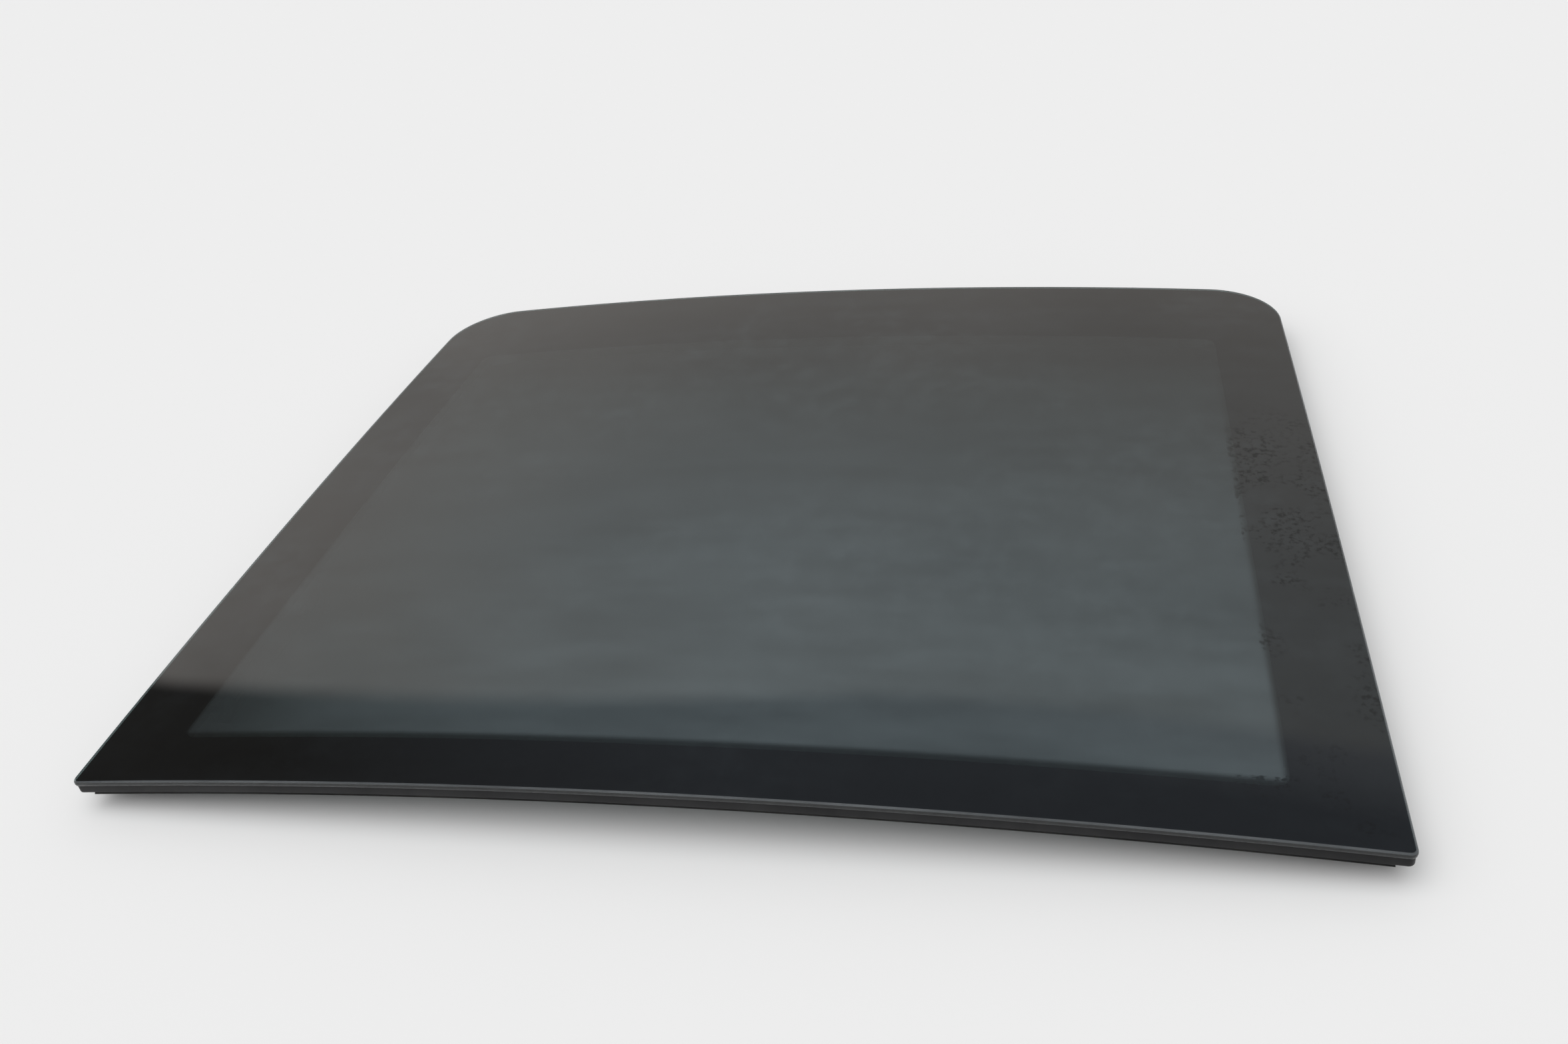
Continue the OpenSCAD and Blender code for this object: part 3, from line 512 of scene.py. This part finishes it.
def printed_border(colours):
    """Fired ceramic print: dead black through the glass and satin from below."""
    f = Finish("printed_border")
    fine = f.noise(2600, 2)
    return f.done(f.surface(Base_Color=f.mottled(colours.printed_border, f.noise(60, 4), 0.85, 1.2),
                            Roughness=f.rough(fine, 0.42, 0.55), Specular_IOR_Level=0.12,
                            Normal=f.bump(fine, 0.12, 0.1 * MM)))


# ---- Finishes of the other pieces ----


def moulded(name, tint, dust, rough, shine, grain, dusty):
    """Moulded plastic or rubber with a fine grain and a little dust in patches."""
    f = Finish(name)
    fine = f.noise(grain, 3, 0.6)
    shade = f.mottled(tint, f.noise(26, 5, 0.6), 0.8, 1.35)
    settled = f.times(f.fit(f.noise(19, 6, 0.7), 0.42, 0.75, 0.0, dusty),
                      f.fit(fine, 0.35, 0.6, 0.4, 1.0))
    return f.done(f.surface(Base_Color=f.blend(settled, shade, dust),
                            Roughness=f.rough(fine, rough - 0.07, rough + 0.08),
                            Specular_IOR_Level=shine, Normal=f.bump(fine, 0.3, 0.15 * MM)))


def moulding_plastic(colours):
    return moulded("moulding", colours.moulding, colours.dust, rough=0.46, shine=0.2, grain=1500,
                   dusty=0.03)


def seal_rubber(colours):
    return moulded("seal_rubber", colours.rubber, colours.dust, rough=0.62, shine=0.3, grain=1100,
                   dusty=0.1)


def cured_glue(colours):
    """Black glue with a few soft lumps."""
    f = Finish("cured_glue")
    lumps = f.noise(180, 3)
    shade = f.blend(f.fit(f.noise(40), 0.4, 0.6), colours.glue, scaled(colours.glue, 1.8))
    return f.done(f.surface(Base_Color=shade, Roughness=f.rough(lumps, 0.28, 0.42),
                            Normal=f.bump(lumps, 0.4, 0.6 * MM)))


def dip_coating(colours):
    """Black dip coating with a slight orange peel, dust and a few freckles of rust."""
    f = Finish("frame_coating")
    shade = f.mottled(colours.coating, f.noise(18, 5), 0.75, 1.3)
    settled = f.times(f.fit(f.noise(14, 7, 0.72), 0.4, 0.8, 0.0, 0.16),
                      f.fit(f.noise(1300, 2), 0.35, 0.6))
    shade = f.blend(settled, shade, colours.dust)
    scattered = f.add("TexVoronoi", {"Vector": f.place, "Scale": 120}, feature="F1")
    freckles = f.times(f.fit(scattered.outputs["Distance"], 0.06, 0.16, 1.0, 0.0),
                       f.fit(f.noise(9, 3), 0.6, 0.68))
    rust = (0.16, 0.06, 0.025)
    return f.done(f.surface(Base_Color=f.blend(freckles, shade, rust),
                            Roughness=f.plus(f.rough(f.noise(30, 5), 0.3, 0.44),
                                             f.times(freckles, 0.4)),
                            Normal=f.bump(f.noise(700, 2), 0.12, 0.2 * MM)))


def plated(name, tint, rough, stain):
    """Plated steel: brushed faintly, clouded and a little stained."""
    f = Finish(name)
    shade = f.mottled(tint, f.noise(85, 5, 0.6), 0.82, 1.18)
    marks = f.fit(f.noise(160, 6, 0.7), 0.56, 0.72, 0.0, stain)
    brushed = f.noise(1.0, 4, 0.6, f.stretched((2600, 90, 900)))
    return f.done(f.surface(Base_Color=f.blend(marks, shade, scaled(tint, 0.45)), Metallic=1.0,
                            Roughness=f.plus(f.rough(brushed, rough - 0.08, rough + 0.1),
                                             f.times(marks, 0.3)),
                            Normal=f.bump(brushed, 0.12, 0.1 * MM)))


def zinc_plating(colours):
    return plated("zinc_plating", colours.zinc, rough=0.36, stain=0.5)


def screw_coating(colours):
    return plated("screw_coating", colours.screw, rough=0.42, stain=0.3)


def shoe_plastic(colours):
    """Natural plastic, scuffed along the way that the shoes slide."""
    f = Finish("shoe_plastic")
    scratches = f.noise(1.0, 6, 0.65, f.stretched((900, 60, 900)))
    scuffed = (0.28, 0.26, 0.22)
    fine = f.noise(1400, 2)
    return f.done(f.surface(Base_Color=f.blend(f.fit(scratches, 0.55, 0.72, 0.0, 0.45),
                                               colours.shoe, scuffed),
                            Roughness=f.rough(fine, 0.36, 0.5), Normal=f.bump(fine, 0.15, 0.1 * MM)))


made_finishes = {}


def finish(maker):
    """The finish that a function makes, made when it is first asked for."""
    if maker not in made_finishes:
        made_finishes[maker] = maker(bpy.context.scene.vent_cover_colours)
    return made_finishes[maker]


# ---- Operators: one for each piece or group of like pieces ----


class VENTCOVER_OT_glass_pane(bpy.types.Operator):
    """Builds the crowned pane with its ground edge"""

    bl_idname = "vent_cover.glass_pane"
    bl_label = "Glass pane"
    bl_options = {"REGISTER", "UNDO"}

    FACE, EDGE = 0, 1

    def execute(self, context):
        sizes = context.scene.vent_cover_sizes
        pane = Pane(sizes)
        bm = bmesh.new()
        verts, _ = loop(bm, [(x, y, 0) for x, y in pane.outline(0)])
        thicken(bm, [bm.faces.new(verts)], sizes.glass)
        round_edges(bm, sizes.ground_radius, sharper_than=60, keep=lies_flat)
        slice_up(bm, pane)
        bm.normal_update()
        for face in bm.faces:
            face.material_index = self.FACE if abs(face.normal.z) > 0.999 else self.EDGE
        for edge in bm.edges:
            edge.smooth = len({face.material_index for face in edge.link_faces}) == 1
        pane.bend(bm)
        make_piece("tinted_pane", bm, [finish(tinted_glass), finish(ground_edge)],
                   replaces="glass_pane")
        return {"FINISHED"}


class VENTCOVER_OT_printed_border(bpy.types.Operator):
    """Builds the black border that is fired onto the underside of the glass"""

    bl_idname = "vent_cover.printed_border"
    bl_label = "Printed border"
    bl_options = {"REGISTER", "UNDO"}

    EDGE_GAP = 1.3 * MM
    BITE = 0.03 * MM        # how far the print reaches into the glass
    THICKNESS = 0.05 * MM
    CORNER_STEPS = 8

    def window(self, pane, sizes):
        """The rounded opening inside the border."""
        radius = sizes.border_corner
        rear = -pane.half_length + sizes.border_rear + radius
        front = pane.half_length - sizes.border_front - radius
        right = []
        for y, is_front in ((rear, False), (front, True)):
            x = pane.side(y, sizes.border_side + radius)
            right += arc(x, y, radius, *pane.turn(is_front), self.CORNER_STEPS)
        return right + mirrored(right)

    def execute(self, context):
        sizes = context.scene.vent_cover_sizes
        pane = Pane(sizes)
        bm = bmesh.new()
        depth = sizes.glass - self.BITE
        _, outer = loop(bm, [(x, y, depth) for x, y in pane.outline(self.EDGE_GAP)])
        _, inner = loop(bm, [(x, y, depth) for x, y in self.window(pane, sizes)])
        bmesh.ops.bridge_loops(bm, edges=outer + inner)
        thicken(bm, bm.faces[:], self.THICKNESS)
        slice_up(bm, pane)
        pane.bend(bm)
        make_piece("printed_border", bm, [finish(printed_border)])
        return {"FINISHED"}


class VENTCOVER_OT_edge_moulding(bpy.types.Operator):
    """Builds the moulding under the glass edge, with its hanging lip and the seals' groove"""

    bl_idname = "vent_cover.edge_moulding"
    bl_label = "Edge moulding"
    bl_options = {"REGISTER", "UNDO"}

    # Millimetres in from the pane's edge and down from its outer face.
    SECTION = ((1.2, 5.1), (1.2, 12.0), (2.6, 13.4), (7.3, 13.4), (8.7, 12.0), (8.7, 9.3),
               (12, 9.3), (12, 6.9), (16, 6.9), (16, 9.3), (21.6, 9.3), (23, 7.9), (23, 5.1))

    def execute(self, context):
        pane = Pane(context.scene.vent_cover_sizes)
        bm = ring_under(pane, self.SECTION, radius=0.45 * MM)
        make_piece("edge_moulding_trim", bm, [finish(moulding_plastic)],
                   replaces="edge_moulding")
        return {"FINISHED"}


class VENTCOVER_OT_seals(bpy.types.Operator):
    """Builds the hollow seal round the sides and front"""

    bl_idname = "vent_cover.seals"
    bl_label = "Hollow seal"
    bl_options = {"REGISTER", "UNDO"}

    # All in millimetres, with depths down from the pane's outer face.
    GROOVE_INSET = 14
    FOOT_HALF = 1.9
    FOOT_TOP = 7.0
    BULB_TOP = 9.4
    BULB_WIDTH = 8.4
    BULB_HEIGHT = 8.0
    WALL = 1.3
    END_GAP = 0.5           # to the lip seal along the rear

    def section(self):
        """The seal's outside and the inside of its bulb."""
        half_width, half_height = self.BULB_WIDTH / 2, self.BULB_HEIGHT / 2
        shoulder = half_width - self.WALL
        left = [(-self.FOOT_HALF, self.FOOT_TOP), (-self.FOOT_HALF, self.BULB_TOP),
                (-shoulder, self.BULB_TOP)]
        outside = left + self.bulb(half_width, half_height) + mirrored(left)
        inside = self.bulb(shoulder, half_height - self.WALL)
        return [in_metres((self.GROOVE_INSET + x, y) for x, y in line) for line in (outside, inside)]

    def bulb(self, half_width, half_height):
        """An oval, open where it meets the moulding."""
        middle = self.BULB_TOP + self.BULB_HEIGHT / 2
        turns = [math.radians(degrees) for degrees in range(-30, 211, 20)]
        return [(-half_width * math.cos(a), middle + half_height * math.sin(a)) for a in turns]

    def path(self, pane, inset):
        """Up the right side, across the front and down the left side, clear of the lip seal."""
        past_rear = self.GROOVE_INSET + self.BULB_WIDTH / 2 + self.END_GAP
        start = -pane.half_length + past_rear * MM
        right = [(x, y) for x, y in pane.right_side(inset) if y > start + 1 * MM]
        return pane.across_front([(pane.side(start, inset), start)] + right)

    def execute(self, context):
        pane = Pane(context.scene.vent_cover_sizes)
        bm = bmesh.new()
        outer, inner = (sweep(bm, line, lambda inset: self.path(pane, inset), closed=False)
                        for line in self.section())
        for outer_end, inner_end in zip(outer, inner):
            bmesh.ops.bridge_loops(bm, edges=outer_end + inner_end)
        pane.bend(bm)
        make_piece("perimeter_seal_bulb", bm, [finish(seal_rubber)],
                   replaces="perimeter_seal")
        return {"FINISHED"}


class VENTCOVER_OT_glue(bpy.types.Operator):
    """Builds the bead of glue between the glass and the frame"""

    bl_idname = "vent_cover.glue"
    bl_label = "Glue"
    bl_options = {"REGISTER", "UNDO"}

    # Millimetres in from the pane's edge and down from its outer face.
    SECTION = ((28.5, 5.06), (27.6, 6.4), (27.5, 8.28), (39.5, 8.28), (39.4, 6.4), (38.5, 5.06))

    def execute(self, context):
        pane = Pane(context.scene.vent_cover_sizes)
        bm = ring_under(pane, self.SECTION, radius=0.5 * MM, segments=2, sharper_than=20)
        make_piece("glue_bead", bm, [finish(cured_glue)], replaces="adhesive_bead")
        return {"FINISHED"}


class VENTCOVER_OT_metalwork(bpy.types.Operator):
    """Rounds the edges of the frame, its fittings and the rear lip seal, and finishes each"""

    bl_idname = "vent_cover.metalwork"
    bl_label = "Frame, brackets and fasteners"
    bl_options = {"REGISTER", "UNDO"}

    # A finish, the radius of the rounded edges in millimetres, and the nodes that have both.
    NODES = (
        (dip_coating, 0.25, ("front_rail", "rear_rail", "left_side_rail", "right_side_rail",
                             "front_stiffener", "rear_corner_plates", "splice_plates")),
        (zinc_plating, 0.35, ("left_lift_bracket", "right_lift_bracket", "left_front_bracket",
                              "right_front_bracket", "weld_nuts", "left_shoe_pin",
                              "right_shoe_pin")),
        (screw_coating, 0.3, ("bracket_screws", "left_pin_clip", "right_pin_clip")),
        (seal_rubber, 0.4, ("stop_buffers", "rear_lip_seal")),
        (shoe_plastic, 0.35, ("left_guide_shoe", "right_guide_shoe")),
        (zinc_plating, 0.2, ("screw_washers",)),
    )
    # Nodes that new pieces stand for. They don't show.
    REPLACED = ("glass_pane", "edge_moulding", "perimeter_seal", "adhesive_bead")
    SAME_POINT = 0.002 * MM
    ROUNDED_FROM = 28       # degrees that an edge turns by

    def execute(self, context):
        for maker, radius, names in self.NODES:
            for name in names:
                self.dress(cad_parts[name], finish(maker), radius * MM)
        for name in self.REPLACED:
            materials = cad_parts[name].data.materials
            materials.clear()
            materials.append(finish(moulding_plastic))
        return {"FINISHED"}

    def dress(self, node, material, radius):
        for slot in node.material_slots:
            slot.material = material
        if not node.material_slots:
            node.data.materials.append(material)
        weld = node.modifiers.new("Join corners", "WELD")
        weld.merge_threshold = self.SAME_POINT
        bevel = node.modifiers.new("Rounded edges", "BEVEL")
        bevel.width = radius
        bevel.segments = 2
        bevel.limit_method = "ANGLE"
        bevel.angle_limit = math.radians(self.ROUNDED_FROM)


class VENTCOVER_OT_stage(bpy.types.Operator):
    """Sets up the floor, the light and the camera"""

    bl_idname = "vent_cover.stage"
    bl_label = "Stage"
    bl_options = {"REGISTER", "UNDO"}

    CAMERA_PLACE = (0.31478, -1.08540, 0.76468)
    CAMERA_TURN = (55.8047, 7.3601, 11.1375)      # degrees about X, Y and Z
    LENS = 32.87
    SENSOR = 36.0
    FLOOR_SIZE = 14.0
    PAINT = (0.9, 0.9, 0.9)
    # Name, degrees that it leans from straight above and turns about Z, width in degrees, strength.
    LAMPS = (("overhead", 18, -12, 70, 1.35), ("from_the_left", 40, -60, 60, 0.5))

    EVEN = (0.42, 0.42, 0.42)
    WHITE = (1.0, 1.0, 1.0)
    WALL_TURN = 8.0         # degrees that the wall in front faces off the cover's length
    SIDE_NEARNESS = 0.55    # 1 for the wall in front, and less for one that stands further off
    REAR_NEARNESS = 0.8
    WARM_WALL = (1.0, 0.955, 0.91)
    COOL_WALL = (0.93, 0.98, 1.0)
    LEFT_CEILING = (0.12, 0.115, 0.11)
    RIGHT_CEILING = (0.30, 0.33, 0.38)
    CEILING_BY_WALL = (0.58, 0.62, 0.68)
    OVERHEAD = (0.25, 0.26, 0.28)

    def execute(self, context):
        self.add_floor(context)
        self.add_lamps(context)
        self.add_world(context)
        self.add_camera(context)
        context.scene.view_settings.view_transform = "Standard"
        return {"FINISHED"}

    def add_floor(self, context):
        """A pale floor, which the camera sees through from below."""
        bm = bmesh.new()
        bmesh.ops.create_grid(bm, x_segments=1, y_segments=1, size=self.FLOOR_SIZE / 2)
        mesh = bpy.data.meshes.new("floor")
        bm.to_mesh(mesh)
        bm.free()
        f = Finish("floor_paint")
        paint = f.surface(Base_Color=opaque(self.PAINT), Roughness=0.9, Specular_IOR_Level=0.0)
        from_below = f.times(f.add("NewGeometry").outputs["Backfacing"],
                             f.add("LightPath").outputs["Is Camera Ray"])
        nothing = f.add("BsdfTransparent").outputs[0]
        mesh.materials.append(f.done(f.mix(from_below, paint, nothing)))
        floor = bpy.data.objects.new("floor", mesh)
        context.scene.collection.objects.link(floor)

    def add_lamps(self, context):
        """Wide soft lamps, which gloss doesn't show."""
        for name, lean, turn, width, strength in self.LAMPS:
            lamp = bpy.data.lights.new(name, "SUN")
            lamp.angle = math.radians(width)
            lamp.energy = strength
            item = bpy.data.objects.new(name, lamp)
            item.rotation_euler = (math.radians(lean), 0, math.radians(turn))
            item.visible_glossy = False
            context.scene.collection.objects.link(item)

    def add_camera(self, context):
        camera = bpy.data.objects.new("camera", bpy.data.cameras.new("camera"))
        camera.data.lens = self.LENS
        camera.data.sensor_width = self.SENSOR
        camera.data.sensor_fit = "HORIZONTAL"
        camera.data.clip_start = 0.01
        turn = Euler([math.radians(degrees) for degrees in self.CAMERA_TURN])
        camera.matrix_world = Matrix.LocRotScale(Vector(self.CAMERA_PLACE), turn, None)
        context.scene.collection.objects.link(camera)
        context.scene.camera = camera

    def add_world(self, context):
        """Even light all round and white behind everything. Gloss shows a plain room."""
        world = bpy.data.worlds.new("studio")
        world.use_nodes = True
        context.scene.world = world
        f = NodeTree(world.node_tree, "Generated")
        even, white, room = (
            f.add("Background", {"Color": shown, "Strength": 1.0}).outputs[0]
            for shown in (opaque(self.EVEN), opaque(self.WHITE), self.room(f)))
        path = f.add("LightPath").outputs
        seen = f.calc("MAXIMUM", path["Is Camera Ray"], path["Is Transmission Ray"])
        unseen = f.mix(path["Is Glossy Ray"], even, room)
        f.add("OutputWorld", {"Surface": f.mix(seen, unseen, white)})

    def room(self, f):
        """The colour that gloss shows: a pale wall below a soft curved edge, and a ceiling."""
        side, up = self.on_wall(f)
        above = f.calc("SUBTRACT", up, self.top_edge(f, side))
        softness = f.fit(side, -1.2, -0.5, 0.035, 0.02)
        below = f.fit(f.calc("DIVIDE", above, softness), -1.0, 1.0, 1.0, 0.0, smooth=True)
        return f.blend(below, self.ceiling(f, side, up, above), self.wall(f, side, up))

    def on_wall(self, f):
        """Where a direction meets the walls, across and up, with the one in front a unit away."""
        turn = math.radians(self.WALL_TURN)
        towards, across = (
            f.add("VectorMath", {0: f.place, 1: axis}, operation="DOT_PRODUCT").outputs["Value"]
            for axis in ((math.sin(turn), math.cos(turn), 0), (math.cos(turn), -math.sin(turn), 0)))
        reach = f.calc("MAXIMUM", towards, f.times(f.calc("ABSOLUTE", across), self.SIDE_NEARNESS))
        reach = f.calc("MAXIMUM", reach, f.times(towards, -self.REAR_NEARNESS))
        height = f.split(f.place)[2]
        return f.calc("DIVIDE", across, reach), f.calc("DIVIDE", height, reach)

    def top_edge(self, f, side):
        """The height of the wall's top edge, a curve that is highest left of the middle."""
        sag = f.fit(side, -1.7, -0.35, -0.8, 0.55)
        return f.calc("SUBTRACT", f.fit(side, -0.35, 0.3, 1.105, 1.014), f.times(sag, sag, 0.214))

    def wall(self, f, side, up):
        """Warm to the left and cool to the right, a little darker low down and at the right."""
        spot = f.add("CombineXYZ", {0: side, 1: up}).outputs[0]
        level = f.times(f.fit(up, 0.45, 0.85, 0.72, 0.96), f.fit(side, -0.3, 0.2, 1.0, 0.82),
                        f.fit(side, -1.3, -0.9, 1.05, 1.0),
                        f.fit(f.noise(2.6, 2, 0.5, spot), 0.35, 0.65, 0.93, 1.05))
        cool = f.times(f.fit(side, -1.1, -0.5), f.fit(up, 0.4, 0.8))
        hue = f.blend(cool, self.WARM_WALL, self.COOL_WALL)
        wall = f.add("VectorMath", {0: hue, "Scale": level}, operation="SCALE")
        return wall.outputs["Vector"]

    def ceiling(self, f, side, up, above):
        """Darker to the left, brighter close to the wall, and plain overhead."""
        shade = f.blend(f.fit(side, -1.45, -0.6), self.LEFT_CEILING, self.RIGHT_CEILING)
        by_wall = f.times(f.fit(above, 0.0, 0.12, 1.0, 0.0), f.fit(side, -0.6, 0.1))
        shade = f.blend(by_wall, shade, self.CEILING_BY_WALL)
        return f.blend(f.fit(up, 1.25, 1.6), shade, self.OVERHEAD)


BUILD_ORDER = (
    VENTCOVER_OT_glass_pane,
    VENTCOVER_OT_printed_border,
    VENTCOVER_OT_edge_moulding,
    VENTCOVER_OT_seals,
    VENTCOVER_OT_glue,
    VENTCOVER_OT_metalwork,
    VENTCOVER_OT_stage,
)


class VENTCOVER_PT_panel(bpy.types.Panel):
    """Lists the pieces, the sizes and the colours in the 3D view's sidebar"""

    bl_idname = "VENTCOVER_PT_panel"
    bl_label = "Vent Cover"
    bl_space_type = "VIEW_3D"
    bl_region_type = "UI"
    bl_category = "Vent Cover"

    def draw(self, context):
        for operator in BUILD_ORDER:
            self.layout.operator(operator.bl_idname)
        for group in (context.scene.vent_cover_sizes, context.scene.vent_cover_colours):
            box = self.layout.box()
            for key in group.__annotations__:
                box.prop(group, key)


CLASSES = (VentCoverSizes, VentCoverColours, *BUILD_ORDER, VENTCOVER_PT_panel)


def register():
    for cls in CLASSES:
        bpy.utils.register_class(cls)
    bpy.types.Scene.vent_cover_sizes = PointerProperty(type=VentCoverSizes)
    bpy.types.Scene.vent_cover_colours = PointerProperty(type=VentCoverColours)


def unregister():
    del bpy.types.Scene.vent_cover_colours
    del bpy.types.Scene.vent_cover_sizes
    for cls in reversed(CLASSES):
        bpy.utils.unregister_class(cls)


def main():
    """Builds every piece in order."""
    register()
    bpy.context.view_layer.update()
    for operator in BUILD_ORDER:
        group, name = operator.bl_idname.split(".")
        getattr(getattr(bpy.ops, group), name)()


if __name__ == "__main__":
    main()
